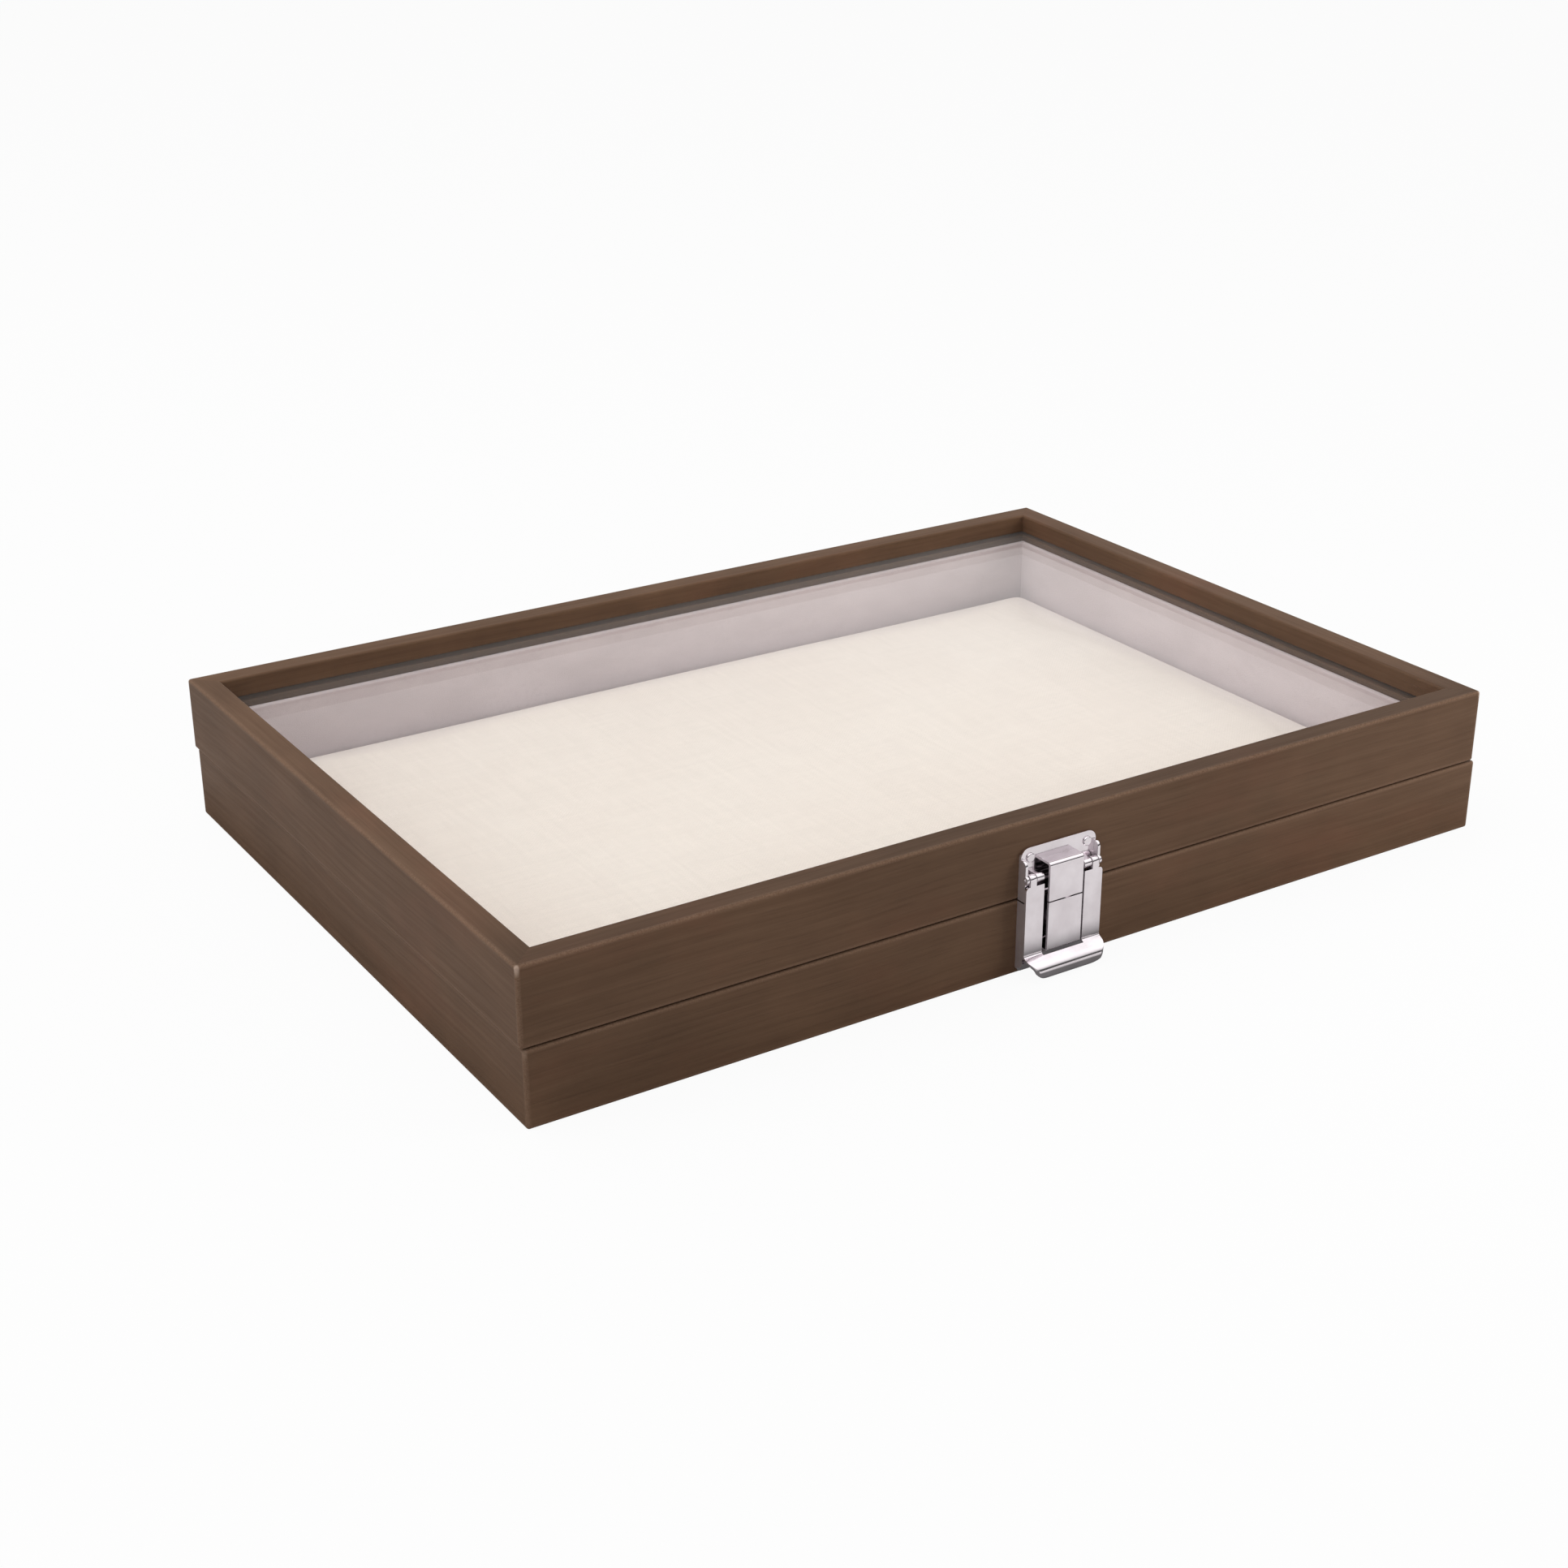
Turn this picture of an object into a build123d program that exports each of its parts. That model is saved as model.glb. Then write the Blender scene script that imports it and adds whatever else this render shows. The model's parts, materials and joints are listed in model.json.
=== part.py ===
from build123d import *
import math
import os

# Bead storage organizer: a shallow mitred case with a hinged glass lid and a snap latch.
# Millimetres. The origin is the centre of the base's underside, +X runs along the long
# side, the latch faces -Y and +Z is up.

# Case
case_length = 350.0
case_depth = 240.0
base_height = 24.0
seam_gap = 0.4
lid_height = 24.5
lid_shift = 1.0  # the lid sits this far to the left of the base
edge_round = 0.9

# Base walls, floor, lining and pad
wall_thickness = 10.0
floor_thickness = 3.0
liner_thickness = 2.0
liner_rise = 13.7  # how far the lining stands above the base's rim
liner_rim_round = 0.8
pad_gap = 0.3
pad_board_thickness = 1.5
pad_height = 15.0
pad_shoulder = 2.4  # depth of the pad's rounded shoulder
pad_crown = 1.0
pad_side_draw = 0.7  # how far the pad's sides are drawn in at its board

# Lid rails and glass
rail_width = 8.5
glass_thickness = 3.0
glass_depth = 6.7  # from the lid's top down to the glass
glass_bite = 4.0  # how far the glass reaches into the rails
glass_edge_gap = 0.5
glass_face_gap = 0.2

# Rear hinges
hinge_inset = 70.0  # from the case's end to the hinge's middle
hinge_length = 32.0
leaf_reach = 8.0
leaf_thickness = 1.0
barrel_radius = 2.0
barrel_gap = 0.3
hinge_pin_radius = 1.0
pin_clearance = 0.05
middle_knuckle = 10.4
knuckle_gap = 0.3
pin_head_radius = 1.6
pin_head_thickness = 0.8

# Hinge screws
screw_spacing = 20.0
screw_inset = 4.0  # from the rear face to the screw's axis
screw_radius = 1.1
screw_head_radius = 2.1
screw_length = 9.0
screw_slot = 0.5
screw_slot_depth = 0.4
hole_clearance = 0.05

# Latch plates. A rise is a height above the middle of the seam.
latch_x = -0.8
plate_width = 27.6
plate_thickness = 1.0
plate_rise = 16.4
plate_bottom = 1.0
plate_corner = 3.0
plate_foot_corner = 1.4
flange_thickness = 0.9
flange_depth = 3.3
flange_rise = 13.2
flange_round = 2.0
tongue_width = 12.4
tongue_thickness = 0.8
tongue_depth = 5.2
tongue_rise = 11.8
tongue_bottom = 6.9
tongue_bend = 1.2
split_drop = 0.8  # the two tongues meet this far below the middle of the seam
split_gap = 0.4
ear_width = 2.6
ear_radius = 1.4

# Latch lever and its pin
lever_width = 28.2
lever_thickness = 0.8
lever_window = 15.0
lever_face = 4.4  # from the case's front to the front of the arms
shoulder_rise = 5.4
lever_shoulder_round = 1.2
lever_bend_start = 7.6
lever_bend_radius = 1.2
lip_slope = 65.0  # the lip's top leaves the arms at this angle to them
lip_run = 2.8
lip_roll_radius = 2.7
lip_roll_angle = 115.0
lip_corner = 7.0  # seen from the front
lip_plan_corner = 3.8  # seen from above
tongue_clearance = 0.2
pivot_rise = 7.3
pivot_depth = 2.9
lever_barrel_radius = 1.5
latch_pin_radius = 0.6
latch_pin_proud = 0.2
ear_gap = 0.3

# Latch nails
nail_spacing = 21.0
lid_nail_rise = 13.2
base_nail_height = 14.0
nail_radius = 0.65
nail_head_radius = 1.5
nail_head_height = 0.6
nail_head_round = 0.4
nail_cover = 0.4  # wood left between a nail's tip and the groove for the glass

# Worked out from the values above
front = -case_depth / 2
rear = case_depth / 2
lid_bottom = base_height + seam_gap
lid_top = lid_bottom + lid_height
seam_middle = base_height + seam_gap / 2
liner_top = base_height + liner_rise
bay_half_length = case_length / 2 - wall_thickness
bay_half_depth = case_depth / 2 - wall_thickness
glass_top = lid_top - glass_depth
glass_bottom = glass_top - glass_thickness
hinge_y = rear + barrel_gap + barrel_radius
hinge_x = case_length / 2 - hinge_inset
hinge_xs = {"left": -hinge_x, "right": hinge_x}
pivot_y = front - pivot_depth
pivot_height = seam_middle + pivot_rise
plate_top = seam_middle + plate_rise
flange_top = seam_middle + flange_rise
tongue_top = seam_middle + tongue_rise
tongue_split = seam_middle - split_drop
lever_shoulder = seam_middle + shoulder_rise
lid_nail_height = seam_middle + lid_nail_rise
nail_depth = rail_width - glass_bite - glass_edge_gap - nail_cover

os.makedirs("parts", exist_ok=True)


def write(part, name):
    part.label = name
    export_step(part, f"parts/{name}.step")


def wedge_points(side, centre_x):
    """Corners of the quarter of the case's plan that a mitred board lies in."""
    half_length = case_length / 2
    half_depth = case_depth / 2
    ridge = half_length - half_depth
    out = wall_thickness
    far_x = half_length + out
    far_y = half_depth + out
    plans = {
        "front": [(-far_x, -far_y), (far_x, -far_y), (ridge, 0), (-ridge, 0)],
        "rear": [(-far_x, far_y), (-ridge, 0), (ridge, 0), (far_x, far_y)],
        "left": [(-far_x, -far_y), (-ridge, 0), (-far_x, far_y)],
        "right": [(far_x, -far_y), (far_x, far_y), (ridge, 0)],
    }
    return [(x + centre_x, y) for x, y in plans[side]]


# Base walls: four boards mitred at 45 degrees, outer edges eased
with BuildPart() as base_ring:
    with BuildSketch(Plane.XY) as base_plan:
        Rectangle(case_length, case_depth)
    extrude(amount=base_height)
    fillet(base_ring.edges(), edge_round)
    with BuildSketch(Plane.XY) as base_hollow:
        Rectangle(2 * bay_half_length, 2 * bay_half_depth)
    extrude(amount=base_height, mode=Mode.SUBTRACT)
    # Seats for the hinges' lower leaves, open to the rear
    for x in hinge_xs.values():
        with BuildSketch(Plane.XY.offset(base_height)) as leaf_seat:
            with Locations((x, rear - leaf_reach / 2)):
                Rectangle(hinge_length, leaf_reach)
        extrude(amount=-leaf_thickness, mode=Mode.SUBTRACT)
        with BuildSketch(Plane.XY.offset(base_height)) as screw_bores:
            with Locations((x, rear - screw_inset)):
                with GridLocations(screw_spacing, 1, 2, 1):
                    Circle(screw_radius + hole_clearance)
        extrude(amount=-screw_length - hole_clearance, mode=Mode.SUBTRACT)
    # Holes for the nails of the latch's lower plate
    with BuildSketch(Plane.XZ.offset(-front)) as base_nail_bores:
        with Locations((latch_x, base_nail_height)):
            with GridLocations(nail_spacing, 1, 2, 1):
                Circle(nail_radius + hole_clearance)
    extrude(amount=-nail_depth - hole_clearance, mode=Mode.SUBTRACT)

# Lid rails: four mitred boards with a groove that holds the glass
with BuildPart() as lid_ring:
    with BuildSketch(Plane.XY.offset(lid_bottom)) as lid_plan:
        with Locations((-lid_shift, 0)):
            Rectangle(case_length, case_depth)
    extrude(amount=lid_height)
    fillet(lid_ring.edges(), edge_round)
    with BuildSketch(Plane.XY.offset(lid_bottom)) as lid_hollow:
        with Locations((-lid_shift, 0)):
            Rectangle(case_length - 2 * rail_width, case_depth - 2 * rail_width)
    extrude(amount=lid_height, mode=Mode.SUBTRACT)
    top_face = lid_ring.faces().sort_by(Axis.Z).last
    fillet(top_face.inner_wires()[0].edges(), edge_round)
    groove_reach = glass_bite + glass_edge_gap
    with BuildSketch(Plane.XY.offset(glass_bottom)) as glass_groove:
        with Locations((-lid_shift, 0)):
            Rectangle(
                case_length - 2 * rail_width + 2 * groove_reach,
                case_depth - 2 * rail_width + 2 * groove_reach,
            )
    extrude(amount=glass_thickness + glass_face_gap, mode=Mode.SUBTRACT)
    # Seats for the hinges' upper leaves, open to the rear
    for x in hinge_xs.values():
        with BuildSketch(Plane.XY.offset(lid_bottom)) as lid_leaf_seat:
            with Locations((x, rear - leaf_reach / 2)):
                Rectangle(hinge_length, leaf_reach)
        extrude(amount=leaf_thickness, mode=Mode.SUBTRACT)
        with BuildSketch(Plane.XY.offset(lid_bottom)) as lid_screw_bores:
            with Locations((x, rear - screw_inset)):
                with GridLocations(screw_spacing, 1, 2, 1):
                    Circle(screw_radius + hole_clearance)
        extrude(amount=screw_length + hole_clearance, mode=Mode.SUBTRACT)
    # Holes for the nails of the latch's upper plate
    with BuildSketch(Plane.XZ.offset(-front)) as lid_nail_bores:
        with Locations((latch_x, lid_nail_height)):
            with GridLocations(nail_spacing, 1, 2, 1):
                Circle(nail_radius + hole_clearance)
    extrude(amount=-nail_depth - hole_clearance, mode=Mode.SUBTRACT)

for side in ("front", "rear", "left", "right"):
    with BuildPart() as base_wall:
        add(base_ring.part)
        with BuildSketch(Plane.XY) as wall_wedge:
            with BuildLine():
                Polyline(*wedge_points(side, 0), close=True)
            make_face()
        extrude(amount=base_height, mode=Mode.INTERSECT)
    write(base_wall.part, f"base_wall_{side}")

    with BuildPart() as lid_rail:
        add(lid_ring.part)
        with BuildSketch(Plane.XY.offset(lid_bottom)) as rail_wedge:
            with BuildLine():
                Polyline(*wedge_points(side, -lid_shift), close=True)
            make_face()
        extrude(amount=lid_height, mode=Mode.INTERSECT)
    write(lid_rail.part, f"lid_rail_{side}")

# Base floor: a thin board between the walls, flush with the underside
with BuildPart() as base_floor:
    with BuildSketch(Plane.XY) as floor_plan:
        Rectangle(2 * bay_half_length, 2 * bay_half_depth)
    extrude(amount=floor_thickness)
write(base_floor.part, "base_floor")

# Lining: four velvet-covered boards standing on the floor, up inside the lid
liner_height = liner_top - floor_thickness
liner_y = bay_half_depth - liner_thickness / 2
liner_x = bay_half_length - liner_thickness / 2
side_liner_length = 2 * (bay_half_depth - liner_thickness)
liners = {
    "front": (0, -liner_y, 2 * bay_half_length, liner_thickness),
    "rear": (0, liner_y, 2 * bay_half_length, liner_thickness),
    "left": (-liner_x, 0, liner_thickness, side_liner_length),
    "right": (liner_x, 0, liner_thickness, side_liner_length),
}
for side, (x, y, size_x, size_y) in liners.items():
    with BuildPart() as liner:
        with BuildSketch(Plane.XY.offset(floor_thickness)) as liner_plan:
            with Locations((x, y)):
                Rectangle(size_x, size_y)
        extrude(amount=liner_height)
        rim = liner.faces().sort_by(Axis.Z).last
        fillet(rim.edges(), liner_rim_round)
    write(liner.part, f"liner_{side}")

# Pad: a fabric-covered foam cushion glued on a thin board
pad_length = 2 * (bay_half_length - liner_thickness - pad_gap)
pad_depth = 2 * (bay_half_depth - liner_thickness - pad_gap)
pad_bottom = floor_thickness + pad_board_thickness
pad_rim = pad_bottom + pad_height - pad_crown - pad_shoulder
with BuildPart() as pad_board:
    with BuildSketch(Plane.XY.offset(floor_thickness)) as board_plan:
        Rectangle(pad_length, pad_depth)
    extrude(amount=pad_board_thickness)
write(pad_board.part, "pad_board")

# The cushion is where two prisms meet, one seen from the front and one from the side.
# Each has drawn-in sides, round shoulders and a shallow crown.
with BuildPart() as pad_cushion:
    for plane, span, mode in (
        (Plane.XZ, pad_length, Mode.ADD),
        (Plane.YZ, pad_depth, Mode.INTERSECT),
    ):
        edge = span / 2 - pad_side_draw
        shoulder = edge - pad_shoulder
        diagonal = pad_shoulder * math.sqrt(0.5)
        with BuildSketch(plane) as pad_profile:
            with BuildLine():
                Line((-edge, pad_bottom), (edge, pad_bottom))
                for sign in (-1, 1):
                    ThreePointArc(
                        (sign * edge, pad_bottom),
                        (sign * span / 2, (pad_bottom + pad_rim) / 2),
                        (sign * edge, pad_rim),
                    )
                    ThreePointArc(
                        (sign * edge, pad_rim),
                        (sign * (shoulder + diagonal), pad_rim + diagonal),
                        (sign * shoulder, pad_rim + pad_shoulder),
                    )
                ThreePointArc(
                    (-shoulder, pad_rim + pad_shoulder),
                    (0, pad_bottom + pad_height),
                    (shoulder, pad_rim + pad_shoulder),
                )
            make_face()
        extrude(amount=case_length, both=True, mode=mode)
write(pad_cushion.part, "pad_cushion")

# Lid glass: a pane whose edges lie in the rails' groove
with BuildPart() as lid_glass:
    with BuildSketch(Plane.XY.offset(glass_bottom)) as glass_plan:
        with Locations((-lid_shift, 0)):
            Rectangle(
                case_length - 2 * (rail_width - glass_bite),
                case_depth - 2 * (rail_width - glass_bite),
            )
    extrude(amount=glass_thickness)
write(lid_glass.part, "lid_glass")

# Rear hinges: two small butt hinges let into the rims, their barrels outside the case
side_knuckle = hinge_length / 2 - middle_knuckle / 2 - knuckle_gap


def knuckle(start_x, length, leaf_middle):
    """One rolled knuckle of a hinge leaf and the web that joins it to the leaf."""
    with BuildSketch(Plane.YZ.offset(start_x)) as section:
        with Locations((hinge_y, seam_middle)):
            Circle(barrel_radius)
        with Locations(((rear + hinge_y) / 2, leaf_middle)):
            Rectangle(hinge_y - rear, leaf_thickness)
    extrude(section.sketch, amount=length)


def pin_bore(start_x):
    """The hole along a hinge's barrel."""
    with BuildSketch(Plane.YZ.offset(start_x)) as section:
        with Locations((hinge_y, seam_middle)):
            Circle(hinge_pin_radius + pin_clearance)
    extrude(section.sketch, amount=hinge_length, mode=Mode.SUBTRACT)


def screw_seats(x, head_plane, depth):
    """Two countersunk holes through a leaf, widening towards its open face."""
    for sign in (-1, 1):
        place = (x + sign * screw_spacing / 2, rear - screw_inset)
        with BuildSketch(head_plane) as mouth:
            with Locations(place):
                Circle(screw_head_radius + hole_clearance)
        with BuildSketch(head_plane.offset(depth)) as throat:
            with Locations(place):
                Circle(screw_radius + hole_clearance)
        loft([mouth.sketch, throat.sketch], mode=Mode.SUBTRACT)


for side, x in hinge_xs.items():
    barrel_start = x - hinge_length / 2
    with BuildPart() as base_leaf:
        with BuildSketch(Plane.XY.offset(base_height - leaf_thickness)):
            with Locations((x, rear - leaf_reach / 2)):
                Rectangle(hinge_length, leaf_reach)
        extrude(amount=leaf_thickness)
        for start in (barrel_start, x + middle_knuckle / 2 + knuckle_gap):
            knuckle(start, side_knuckle, base_height - leaf_thickness / 2)
        pin_bore(barrel_start)
        screw_seats(x, Plane.XY.offset(base_height), -leaf_thickness)
    write(base_leaf.part, f"hinge_base_leaf_{side}")

    with BuildPart() as lid_leaf:
        with BuildSketch(Plane.XY.offset(lid_bottom)):
            with Locations((x, rear - leaf_reach / 2)):
                Rectangle(hinge_length, leaf_reach)
        extrude(amount=leaf_thickness)
        knuckle(x - middle_knuckle / 2, middle_knuckle, lid_bottom + leaf_thickness / 2)
        pin_bore(barrel_start)
        screw_seats(x, Plane.XY.offset(lid_bottom), leaf_thickness)
    write(lid_leaf.part, f"hinge_lid_leaf_{side}")

    with BuildPart() as hinge_pin:
        with BuildSketch(Plane.YZ.offset(barrel_start - hole_clearance)) as pin_section:
            with Locations((hinge_y, seam_middle)):
                Circle(hinge_pin_radius)
        extrude(amount=hinge_length + 2 * hole_clearance)
        for way in (-1, 1):
            head_start = x + way * (hinge_length / 2 + hole_clearance)
            with BuildSketch(Plane.YZ.offset(head_start)) as pin_head:
                with Locations((hinge_y, seam_middle)):
                    Circle(pin_head_radius)
            extrude(amount=way * pin_head_thickness)
        pin_ends = hinge_pin.faces().sort_by(Axis.X)
        fillet(pin_ends.first.edges() + pin_ends.last.edges(), pin_head_thickness / 2)
    write(hinge_pin.part, f"hinge_pin_{side}")

# Hinge screws: countersunk and slotted, down into the base and up into the lid
for name, head_height, way in (
    ("hinge_screws_base", base_height, -1),
    ("hinge_screws_lid", lid_bottom, 1),
):
    head_plane = Plane.XY.offset(head_height)
    with BuildPart() as screws:
        for x in hinge_xs.values():
            for sign in (-1, 1):
                place = (x + sign * screw_spacing / 2, rear - screw_inset)
                with BuildSketch(head_plane):
                    with Locations(place):
                        Circle(screw_head_radius)
                with BuildSketch(head_plane.offset(way * leaf_thickness)):
                    with Locations(place):
                        Circle(screw_radius)
                loft()
                with BuildSketch(head_plane.offset(way * leaf_thickness)):
                    with Locations(place):
                        Circle(screw_radius)
                extrude(amount=way * (screw_length - leaf_thickness))
                with BuildSketch(head_plane):
                    with Locations(place):
                        Rectangle(2 * screw_head_radius, screw_slot)
                extrude(amount=way * screw_slot_depth, mode=Mode.SUBTRACT)
    write(screws.part, name)

# Latch: two pressed plates nailed to the front, each with a tongue that stands out and
# meets the other's at the seam. A lever hangs from a pin in the upper plate, its arms
# either side of the tongues, and ends in a rolled lip below them.
front_plane = Plane.XZ.offset(-front)
plate_half = plate_width / 2
ear_inner = lever_window / 2
knuckle_inner = ear_inner + ear_width + ear_gap
knuckle_outer = plate_half - flange_thickness - ear_gap


def tongue(root, tip):
    """A tongue that leaves its plate at the root's height and runs on to the tip."""
    way = math.copysign(tongue_thickness, tip - root)
    face_y = front - tongue_depth
    back_y = face_y + tongue_thickness
    with BuildSketch(Plane.YZ.offset(latch_x)) as profile:
        with BuildLine():
            Polyline(
                (front - plate_thickness, root),
                (face_y, root),
                (face_y, tip),
                (back_y, tip),
                (back_y, root + way),
                (front - plate_thickness, root + way),
                close=True,
            )
        make_face()
        outer = profile.vertices().sort_by_distance((face_y, root))[0]
        fillet(outer, tongue_bend)
        inner = profile.vertices().sort_by_distance((back_y, root + way))[0]
        fillet(inner, tongue_bend - tongue_thickness)
    extrude(profile.sketch, amount=tongue_width / 2, both=True)


def flanges(low, high, round_corner):
    """The plate's two side flanges, the front corner at one end rounded."""
    for start in (latch_x - plate_half, latch_x + plate_half - flange_thickness):
        with BuildSketch(Plane.YZ.offset(start)) as flange:
            with Locations((front - flange_depth / 2, (low + high) / 2)):
                Rectangle(flange_depth, high - low)
            corner = (front - flange_depth, round_corner)
            fillet(flange.vertices().sort_by_distance(corner)[0], flange_round)
        extrude(flange.sketch, amount=flange_thickness)


with BuildPart() as latch_base_plate:
    with BuildSketch(front_plane) as base_back:
        with Locations((latch_x, (plate_bottom + base_height) / 2)):
            Rectangle(plate_width, base_height - plate_bottom)
        fillet(base_back.vertices().group_by(Axis.Y)[0], plate_foot_corner)
        with Locations((latch_x, base_nail_height)):
            with GridLocations(nail_spacing, 1, 2, 1):
                Circle(nail_radius + hole_clearance, mode=Mode.SUBTRACT)
    extrude(amount=plate_thickness)
    flange_foot = plate_bottom + plate_foot_corner
    flanges(flange_foot, base_height, flange_foot)
    tongue(tongue_bottom, tongue_split - split_gap / 2)
write(latch_base_plate.part, "latch_base_plate")

with BuildPart() as latch_lid_plate:
    with BuildSketch(front_plane) as lid_back:
        with Locations((latch_x, (lid_bottom + plate_top) / 2)):
            Rectangle(plate_width, plate_top - lid_bottom)
        fillet(lid_back.vertices().group_by(Axis.Y)[-1], plate_corner)
        with Locations((latch_x, lid_nail_height)):
            with GridLocations(nail_spacing, 1, 2, 1):
                Circle(nail_radius + hole_clearance, mode=Mode.SUBTRACT)
    extrude(amount=plate_thickness)
    flanges(lid_bottom, flange_top, flange_top)
    tongue(tongue_top, tongue_split + split_gap / 2)
    # Four ears that carry the pin: one each side of each of the lever's knuckles
    ears = (
        (latch_x - ear_inner - ear_width, ear_width),
        (latch_x + ear_inner, ear_width),
        (latch_x - plate_half, flange_thickness),
        (latch_x + plate_half - flange_thickness, flange_thickness),
    )
    for start, thickness in ears:
        with BuildSketch(Plane.YZ.offset(start)) as ear:
            with Locations((pivot_y, pivot_height)):
                Circle(ear_radius)
            with Locations(((pivot_y + front) / 2, pivot_height)):
                Rectangle(pivot_depth, 2 * ear_radius)
        extrude(amount=thickness)
    with BuildSketch(Plane.YZ.offset(latch_x)) as lid_plate_bore:
        with Locations((pivot_y, pivot_height)):
            Circle(latch_pin_radius + pin_clearance)
    extrude(amount=plate_width, both=True, mode=Mode.SUBTRACT)
write(latch_lid_plate.part, "latch_lid_plate")

with BuildPart() as latch_lever:
    arm_y = front - lever_face + lever_thickness / 2
    with BuildSketch(Plane.YZ.offset(latch_x)) as lever_side:
        with BuildLine():
            arm = Line((arm_y, pivot_height), (arm_y, lever_bend_start))
            bend = JernArc(arm @ 1, arm % 1, lever_bend_radius, -lip_slope)
            shelf = Line(bend @ 1, bend @ 1 + (bend % 1) * lip_run)
            roll = JernArc(shelf @ 1, shelf % 1, lip_roll_radius, lip_roll_angle)
            offset(amount=lever_thickness / 2)
        make_face()
    extrude(amount=lever_width / 2, both=True)
    # Seen from the front: rounded lower corners, and a neck up to each knuckle
    lip_low = latch_lever.vertices().sort_by(Axis.Z).first.Z
    knuckle_length = knuckle_outer - knuckle_inner
    with BuildSketch(front_plane) as lever_outline:
        with Locations((latch_x, (lip_low + lever_shoulder) / 2)):
            Rectangle(lever_width, lever_shoulder - lip_low)
        fillet(lever_outline.vertices().group_by(Axis.Y)[0], lip_corner)
        fillet(lever_outline.vertices().group_by(Axis.Y)[-1], lever_shoulder_round)
        for sign in (-1, 1):
            neck_x = latch_x + sign * (knuckle_inner + knuckle_outer) / 2
            with Locations((neck_x, (lever_shoulder + pivot_height) / 2)):
                Rectangle(knuckle_length, pivot_height - lever_shoulder)
    extrude(amount=2 * case_depth, mode=Mode.INTERSECT)
    # Seen from above: the lip's front corners rounded as well
    lip_front = latch_lever.part.bounding_box().min.Y
    with BuildSketch() as lever_plan:
        with Locations((latch_x, (lip_front + front) / 2)):
            Rectangle(lever_width, front - lip_front)
        fillet(lever_plan.vertices().group_by(Axis.Y)[0], lip_plan_corner)
    extrude(amount=case_depth, mode=Mode.INTERSECT)
    # The window between the arms, cut far enough forward to clear the tongues
    with BuildSketch(front_plane) as lever_window_cut:
        with Locations((latch_x, pivot_height / 2)):
            Rectangle(lever_window, pivot_height)
    extrude(amount=tongue_depth + tongue_clearance, mode=Mode.SUBTRACT)
    for start in (latch_x - knuckle_outer, latch_x + knuckle_inner):
        with BuildSketch(Plane.YZ.offset(start)) as lever_knuckle:
            with Locations((pivot_y, pivot_height)):
                Circle(lever_barrel_radius)
        extrude(amount=knuckle_length)
    with BuildSketch(Plane.YZ.offset(latch_x)) as lever_bore:
        with Locations((pivot_y, pivot_height)):
            Circle(latch_pin_radius + pin_clearance)
    extrude(amount=lever_width, both=True, mode=Mode.SUBTRACT)
write(latch_lever.part, "latch_lever")

with BuildPart() as latch_pin:
    with BuildSketch(Plane.YZ.offset(latch_x)) as latch_pin_section:
        with Locations((pivot_y, pivot_height)):
            Circle(latch_pin_radius)
    extrude(amount=plate_half + latch_pin_proud, both=True)
write(latch_pin.part, "latch_pin")

# Latch nails: round-headed, through the plates into the wood
for name, height in (
    ("latch_nails_base", base_nail_height),
    ("latch_nails_lid", lid_nail_height),
):
    with BuildPart() as nails:
        with BuildSketch(front_plane) as nail_shanks:
            with Locations((latch_x, height)):
                with GridLocations(nail_spacing, 1, 2, 1):
                    Circle(nail_radius)
        extrude(amount=-nail_depth)
        with BuildSketch(front_plane) as nail_necks:
            with Locations((latch_x, height)):
                with GridLocations(nail_spacing, 1, 2, 1):
                    Circle(nail_radius)
        extrude(amount=plate_thickness)
        with BuildSketch(front_plane.offset(plate_thickness)) as nail_heads:
            with Locations((latch_x, height)):
                with GridLocations(nail_spacing, 1, 2, 1):
                    Circle(nail_head_radius)
        extrude(amount=nail_head_height)
        fillet(nails.faces().sort_by(Axis.Y)[:2].edges(), nail_head_round)
    write(nails.part, name)

print("lip's lowest point, mm", round(latch_lever.part.bounding_box().min.Z, 2))
print("lever's furthest point, mm", round(front - latch_lever.part.bounding_box().min.Y, 2))
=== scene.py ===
import json
import math

import bmesh
import bpy
from mathutils import Matrix, Vector

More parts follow.
